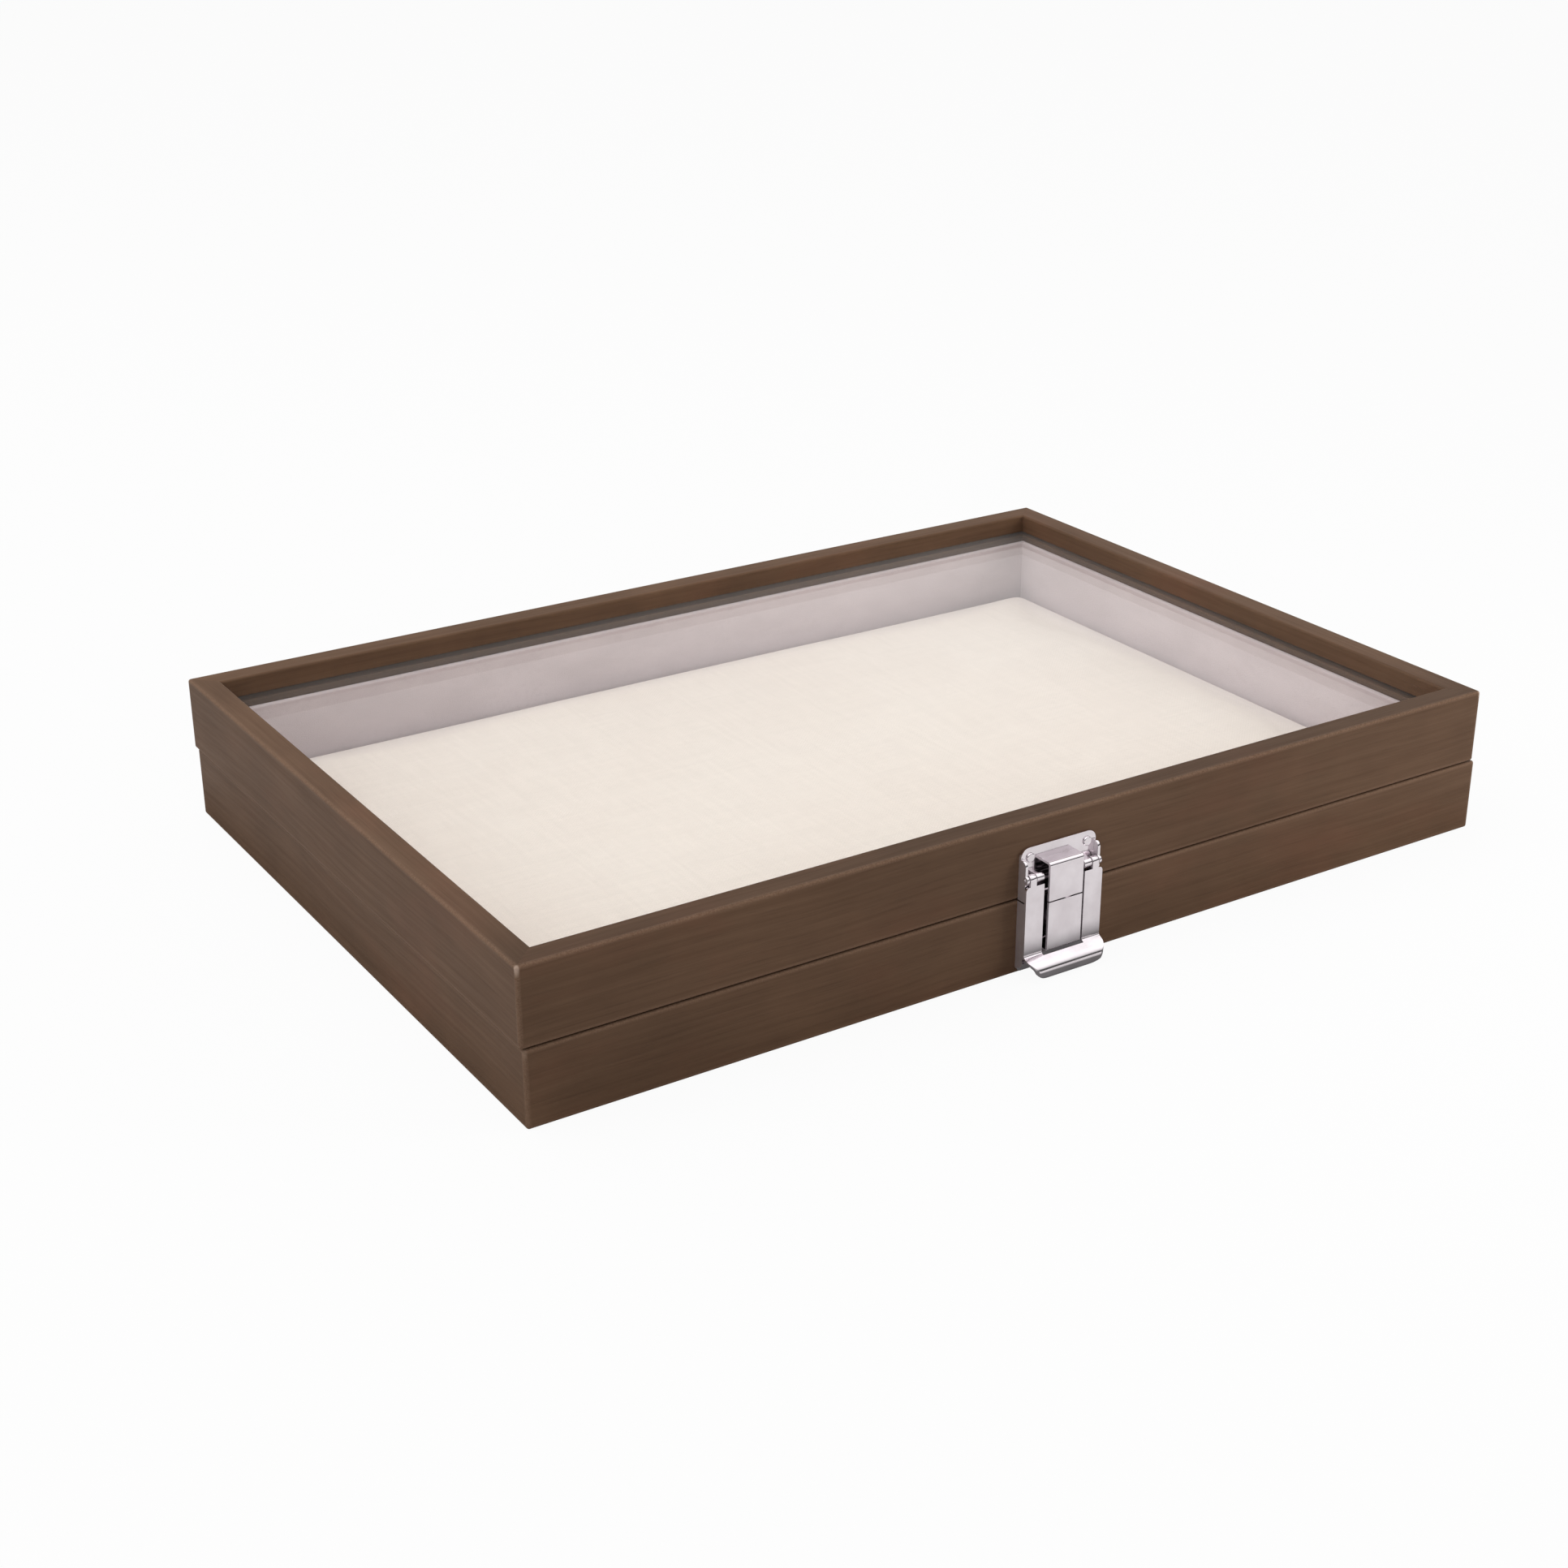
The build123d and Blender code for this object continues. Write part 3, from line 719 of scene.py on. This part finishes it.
wraps = {}
for part, middleX, low, high in (
    ("base", 0.0, baseLow.z, baseHigh.z),
    ("lid", lidCentreX, lidLow.z, lidHigh.z),
):
    for way, turned in (("Long", False), ("Short", True)):
        name = f"brownWrap{part.capitalize()}{way}"
        bareShare = wrapLook["bareShare"][part]
        wraps[part, way] = makeWrap(name, turned, middleX, low, high, bareShare)
velvet = makeVelvet()
padCloth = makePadCloth()
board = makeBoard()
glass = makeGlass()
nickel = makeMetal("brightNickel")
steel = makeMetal("hingeSteel")
print("materials made:", len(bpy.data.materials))


def placePiece(mesh, name, material, slot, body, *stoodFor):
    piece = bpy.data.objects.new(name, mesh)
    bpy.context.scene.collection.objects.link(piece)
    mesh.materials.clear()
    mesh.materials.append(material)
    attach(piece, body)
    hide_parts(*stoodFor)
    return piece


easing = {
    "merge": 0.000002,
    "flat": math.radians(0.6),  # faces that meet at less than this are joined
    "hard": math.radians(30),  # edges sharper than this are rounded
    "segments": 2,
    "boardWidth": 0.00012,
}
flangeRim = {
    "width": 0.00038,
    "segments": 4,
    "inward": 0.000909,  # just more than the flange is thick
    "forward": 0.00105,  # just more than the plate is thick
}


def hardEdges(shape, within=None):
    found = []
    for edge in shape.edges:
        if len(edge.link_faces) == 2 and edge.calc_face_angle() > easing["hard"]:
            if within is None or all(within(vertex.co) for vertex in edge.verts):
                found.append(edge)
    return found


def easeEdges(shape, edges, width, segments):
    bmesh.ops.bevel(
        shape,
        geom=edges,
        offset=width,
        offset_type="OFFSET",
        segments=segments,
        profile=0.5,
        affect="EDGES",
        clamp_overlap=True,
        material=-1,
    )


# A merged copy of a node with its hard edges rounded off, those in rim more than the others
def easedCopy(node, name, material, slot, body, width, rim=None):
    shape = bmesh.new()
    shape.from_mesh(nodes[node].data)
    bmesh.ops.remove_doubles(shape, verts=shape.verts, dist=easing["merge"])
    bmesh.ops.dissolve_limit(
        shape,
        angle_limit=easing["flat"],
        verts=shape.verts,
        edges=shape.edges,
        use_dissolve_boundaries=False,
    )
    if rim:
        easeEdges(shape, hardEdges(shape, rim), flangeRim["width"], flangeRim["segments"])
    easeEdges(shape, hardEdges(shape), width, easing["segments"])
    for face in shape.faces:
        face.smooth = True
    openEdges = sum(1 for edge in shape.edges if len(edge.link_faces) != 2)
    mesh = bpy.data.meshes.new(name)
    shape.to_mesh(mesh)
    shape.free()
    piece = placePiece(mesh, name, material, slot, body, node)
    evened = piece.modifiers.new("evenedNormals", "WEIGHTED_NORMAL")
    evened.keep_sharp = True
    print(name, len(mesh.polygons), "faces, open edges", openEdges)


for part, body in (("base_wall", "base"), ("lid_rail", "lid")):
    for side in ("front", "rear", "left", "right"):
        way = "Long" if side in ("front", "rear") else "Short"
        easedCopy(
            f"{part}_{side}",
            f"{body}Board{side.capitalize()}",
            wraps[body, way],
            "brown_wrap",
            body,
            easing["boardWidth"],
        )

metalEdges = {
    "latch_base_plate": ("latchBasePlate", nickel, "bright_nickel", "base", 0.00016),
    "latch_lid_plate": ("latchLidPlate", nickel, "bright_nickel", "lid", 0.00016),
    "latch_lever": ("latchLever", nickel, "bright_nickel", "latch", 0.0002),
    "latch_pin": ("latchPin", nickel, "bright_nickel", "lid", 0.0001),
    "hinge_base_leaf_left": ("hingeBaseLeafLeft", steel, "hinge_steel", "base", 0.00015),
    "hinge_base_leaf_right": ("hingeBaseLeafRight", steel, "hinge_steel", "base", 0.00015),
    "hinge_lid_leaf_left": ("hingeLidLeafLeft", steel, "hinge_steel", "lid", 0.00015),
    "hinge_lid_leaf_right": ("hingeLidLeafRight", steel, "hinge_steel", "lid", 0.00015),
}
plateLow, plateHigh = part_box("latch_base_plate")
plateMiddle = (plateLow.x + plateHigh.x) / 2


def onFlangeRim(point):
    inFlange = abs(point.x - plateMiddle) > plateHigh.x - plateMiddle - flangeRim["inward"]
    return inFlange and point.y < baseLow.y - flangeRim["forward"]


for node, (name, material, slot, body, width) in metalEdges.items():
    rim = onFlangeRim if node == "latch_base_plate" else None
    easedCopy(node, name, material, slot, body, width, rim)

keptNodes = (
    (board, ("base_floor", "pad_board")),
    (velvet, ("liner_front", "liner_rear", "liner_left", "liner_right")),
    (glass, ("lid_glass",)),
    (steel, ("hinge_pin_left", "hinge_pin_right", "hinge_screws_base", "hinge_screws_lid")),
    (nickel, ("latch_nails_base", "latch_nails_lid")),
)
for material, names in keptNodes:
    for name in names:
        nodes[name].material_slots[0].material = material
print("boards, latch and hinges dressed")

cushion = {
    "voxel": 0.004,
    "inset": 0.0006,  # how much smaller than its CAD solid the pad starts
    "shoulder": 0.0035,
    "shoulderSegments": 4,
    "held": 0.8,  # how far up the underside's points are held, in voxels
    "quality": 6,
    "mass": 0.3,
    "stiffness": 18,
    "bending": 1.5,
    "pressure": 4.0,
    "frames": 20,
    "sideSwell": 0.0005,  # the most that a point may move sideways
    "topSwell": 0.0012,
    "topSink": 0.0003,
}


# The cloth is blown up a little, and how far each point may go is capped softly
def swellCushion(piece, low):
    held = piece.vertex_groups.new(name="held")
    heldTo = low.z + cushion["voxel"] * cushion["held"]
    held.add([v.index for v in piece.data.vertices if v.co.z < heldTo], 1.0, "REPLACE")
    cloth = piece.modifiers.new("swell", "CLOTH")
    cloth.settings.quality = cushion["quality"]
    cloth.settings.mass = cushion["mass"]
    cloth.settings.tension_stiffness = cushion["stiffness"]
    cloth.settings.compression_stiffness = cushion["stiffness"]
    cloth.settings.bending_stiffness = cushion["bending"]
    cloth.settings.use_pressure = True
    cloth.settings.uniform_pressure_force = cushion["pressure"]
    cloth.settings.vertex_group_mass = "held"
    cloth.settings.effector_weights.gravity = 0
    cloth.point_cache.frame_end = cushion["frames"]
    start = [v.co.copy() for v in piece.data.vertices]
    for number in range(1, cushion["frames"] + 1):
        bpy.context.scene.frame_set(number)
    evaluated = piece.evaluated_get(bpy.context.evaluated_depsgraph_get())
    ends = [v.co.copy() for v in evaluated.to_mesh().vertices]
    evaluated.to_mesh_clear()
    piece.modifiers.remove(cloth)
    bpy.context.scene.frame_set(1)

    def capped(move, most):
        return most * math.tanh(move / most)

    for vertex, first, last in zip(piece.data.vertices, start, ends):
        move = last - first
        move.x = capped(move.x, cushion["sideSwell"])
        move.y = capped(move.y, cushion["sideSwell"])
        move.z = capped(move.z, cushion["topSwell"] if move.z > 0 else cushion["topSink"])
        vertex.co = first + move
        vertex.co.z = max(vertex.co.z, low.z)


def makeCushion():
    low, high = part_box("pad_cushion")
    inset = cushion["inset"]
    size = high - low - Vector((2 * inset, 2 * inset, 2 * inset))
    middle = (low + high) / 2 - Vector((0, 0, inset))
    shape = bmesh.new()
    block = Matrix.Translation(middle) @ Matrix.Diagonal((*size, 1))
    bmesh.ops.create_cube(shape, size=1.0, matrix=block)
    top = [edge for edge in shape.edges if any(v.co.z > middle.z for v in edge.verts)]
    easeEdges(shape, top, cushion["shoulder"], cushion["shoulderSegments"])
    mesh = bpy.data.meshes.new("creamPad")
    shape.to_mesh(mesh)
    shape.free()
    piece = placePiece(mesh, "creamPad", padCloth, "cream_fabric", "base", "pad_cushion")
    remesh = piece.modifiers.new("remesh", "REMESH")
    remesh.mode = "VOXEL"
    remesh.voxel_size = cushion["voxel"]
    depsgraph = bpy.context.evaluated_depsgraph_get()
    piece.data = bpy.data.meshes.new_from_object(piece.evaluated_get(depsgraph))
    piece.data.name = "creamPadCloth"
    piece.modifiers.clear()
    swellCushion(piece, low)
    for face in piece.data.polygons:
        face.use_smooth = True
    finer = piece.modifiers.new("finer", "SUBSURF")
    finer.levels = finer.render_levels = 1
    print("pad made:", len(piece.data.polygons), "faces")


makeCushion()


stageLook = {
    "size": 6.0,
    "gap": 0.0002,  # keeps the floor clear of the case's underside
    "floor": {
        "Base Color": (0.62, 0.62, 0.62, 1),
        "Roughness": 0.9,
        "Specular IOR Level": 0.0,
    },
    "seenWhite": 0.94,  # how much of the floor is plain white to the camera
    "mirroredWhite": 0.25,  # and in reflections, which show more of its shadows
    "contact": (0.007, 0.017),  # painted shadow: where the mirrored floor is painted dark beside the case, and where that ends
    "contactShare": 0.85,
    "contactTone": 0.1,
    "underInset": 0.0005,
    "sky": 0.66,
    "skyTint": (1.0, 0.985, 0.97, 1),
    "skyToRear": 0.1,
    "skyToLeft": 0.12,
    "mirroredSpan": (0.3, 0.7),  # the mirrored sky is brighter towards the right
    "mirroredLeft": 0.85,
    "mirroredRight": 1.35,
    "rearwardSpan": (-0.35, 0.1),
    "rearSky": (  # height and brightness, as the glass mirrors it
        (0.0, 0.5),
        (0.24, 0.6),
        (0.29, 1.2),
        (0.33, 0.9),
        (0.38, 0.4),
        (0.5, 0.2),
        (0.68, 0.4),
        (0.85, 1.3),
    ),
    "frontSky": (  # dark low down, as a room is
        (0.0, 0.06),
        (0.28, 0.08),
        (0.38, 0.55),
        (0.52, 0.9),
        (0.85, 1.3),
    ),
}


def seenRays(tree, rays):  # 1 for rays that show the background itself
    return calc(tree, "MAXIMUM", rays["Is Camera Ray"], rays["Is Transmission Ray"])


def outsideBox(tree, place, halfLength, halfDepth):  # how far outside, less than 0 within
    parts = split(tree, place)
    beside = calc(tree, "SUBTRACT", calc(tree, "ABSOLUTE", parts[0]), halfLength)
    before = calc(tree, "SUBTRACT", calc(tree, "ABSOLUTE", parts[1]), halfDepth)
    return calc(tree, "MAXIMUM", beside, before)


def nearCase(tree, place):  # mask of the painted shadow: 1 beside the case, 0 further out
    outside = outsideBox(tree, place, abs(cadLow.x), abs(cadLow.y))
    return rangeOf(tree, outside, *stageLook["contact"], 1.0, 0.0)


def underCase(tree, place):
    outside = outsideBox(tree, place, caseLength / 2, caseDepth / 2)
    return calc(tree, "LESS_THAN", outside, -stageLook["underInset"])


def makeFloor():
    look = stageLook
    shape = bmesh.new()
    lowered = Matrix.Translation((0, 0, -look["gap"]))
    bmesh.ops.create_grid(shape, x_segments=1, y_segments=1, size=look["size"], matrix=lowered)
    mesh = bpy.data.meshes.new("floor")
    shape.to_mesh(mesh)
    shape.free()
    floor = bpy.data.objects.new("floor", mesh)
    bpy.context.scene.collection.objects.link(floor)
    material, tree, shader, place = startMaterial("paleFloor")
    setSockets(shader, look["floor"])
    rays = addNode(tree, "LightPath").outputs
    glossy = rays["Is Glossy Ray"]
    # painted shadow: in reflections the floor beside the case is painted dark
    contact = calc(tree, "MULTIPLY", nearCase(tree, place), glossy)
    white = addNode(tree, "Emission")
    tone = rangeOf(tree, contact, 0.0, 1.0, 1.0, look["contactTone"])
    tree.links.new(tone, white.inputs["Strength"])
    seen = calc(tree, "MULTIPLY", seenRays(tree, rays), look["seenWhite"])
    share = rangeOf(tree, contact, 0.0, 1.0, look["mirroredWhite"], look["contactShare"])
    whitened = calc(tree, "MAXIMUM", seen, calc(tree, "MULTIPLY", glossy, share))
    fromAbove = mixShaders(tree, whitened, shader.outputs[0], white.outputs[0])
    # The floor is unseen from below, and lets light onto the case's underside
    under = calc(tree, "MULTIPLY", underCase(tree, place), rays["Is Diffuse Ray"])
    behind = addNode(tree, "NewGeometry").outputs["Backfacing"]
    absent = calc(tree, "MAXIMUM", behind, under)
    clear = addNode(tree, "BsdfTransparent").outputs[0]
    showInstead(tree, mixShaders(tree, absent, fromAbove, clear))
    mesh.materials.append(material)


def skyLevels(tree, height, stops):  # how bright the mirrored sky is at each height
    levels = addNode(tree, "ValToRGB")
    ramp = levels.color_ramp.elements
    for number, (position, level) in enumerate(stops):
        stop = ramp[number] if number < 2 else ramp.new(position)  # it starts with two stops
        stop.position = position
        stop.color = (level, level, level, 1)
    tree.links.new(height, levels.inputs[0])
    return levels.outputs[0]


def makeWorld():
    look = stageLook
    world = bpy.data.worlds.new("studio")
    world.use_nodes = True
    tree = world.node_tree
    tree.nodes.clear()
    way = split(tree, addNode(tree, "TexCoord").outputs["Generated"])
    rays = addNode(tree, "LightPath").outputs

    toRear = calc(tree, "MULTIPLY", way[1], look["skyToRear"])
    toRight = calc(tree, "MULTIPLY", way[0], look["skyToLeft"])
    leaning = calc(tree, "SUBTRACT", toRear, toRight)
    lit = addNode(tree, "Background")
    lit.inputs[0].default_value = look["skyTint"]
    tree.links.new(calc(tree, "ADD", leaning, look["sky"]), lit.inputs[1])

    frontLevels = skyLevels(tree, way[2], look["frontSky"])
    rearLevels = skyLevels(tree, way[2], look["rearSky"])
    rearward = rise(tree, way[1], look["rearwardSpan"])
    mirrored = addNode(tree, "Background")
    tree.links.new(blendColours(tree, rearward, frontLevels, rearLevels), mirrored.inputs[0])
    sides = (look["mirroredLeft"], look["mirroredRight"])
    tree.links.new(rangeOf(tree, way[0], *look["mirroredSpan"], *sides), mirrored.inputs[1])

    white = addNode(tree, "Background")
    white.inputs[0].default_value = (1, 1, 1, 1)
    glossy = rays["Is Glossy Ray"]
    unseen = mixShaders(tree, glossy, lit.outputs[0], mirrored.outputs[0])
    shown = mixShaders(tree, seenRays(tree, rays), unseen, white.outputs[0])
    tree.links.new(shown, addNode(tree, "OutputWorld").inputs[0])
    bpy.context.scene.world = world


lamps = {
    "overhead": {
        "place": (-0.5, 0.2, 1.35),
        "aim": (0, 0, 0.03),
        "size": 1.2,
        "watts": 10.5,
        "mirrored": True,
    },
    "leftCard": {
        "place": (-1.5, 0.1, 0.8),
        "aim": (0, 0, 0.03),
        "size": 1.2,
        "watts": 3.6,
        "mirrored": True,
    },
    "rightCard": {
        "place": (0.42, -0.42, 0.22),
        "aim": (0.15, -0.1, 0.02),
        "size": 0.24,
        "watts": 1.35,
        "mirrored": False,  # it would leave a white spot on the latch
    },
}


def makeLamp(name, look):
    lamp = bpy.data.lights.new(name, "AREA")
    lamp.shape = "SQUARE"
    lamp.size = look["size"]
    lamp.energy = look["watts"]
    holder = bpy.data.objects.new(name, lamp)
    holder.location = look["place"]
    aim = Vector(look["aim"]) - Vector(look["place"])
    holder.rotation_euler = aim.to_track_quat("-Z", "Y").to_euler()
    holder.visible_camera = False
    holder.visible_glossy = look["mirrored"]
    bpy.context.scene.collection.objects.link(holder)


makeFloor()
makeWorld()
for name, look in lamps.items():
    makeLamp(name, look)

view = {
    "place": (-0.40823, -0.61172, 0.33742),
    "right": (0.842767, -0.538272, -0.002715),
    "up": (0.219298, 0.338737, 0.914967),
    "lens": 55.19,
    "sensor": 36.0,
    "nearest": 0.02,
}
lensData = bpy.data.cameras.new("photoView")
lensData.lens = view["lens"]
lensData.sensor_width = view["sensor"]
lensData.clip_start = view["nearest"]
camera = bpy.data.objects.new("photoView", lensData)
bpy.context.scene.collection.objects.link(camera)
right, up = Vector(view["right"]), Vector(view["up"])
turn = Matrix((right, up, right.cross(up))).transposed().to_4x4()
camera.matrix_world = Matrix.Translation(view["place"]) @ turn
bpy.context.scene.camera = camera
bpy.context.scene.view_settings.view_transform = "Standard"
print("floor, lamps and camera placed")
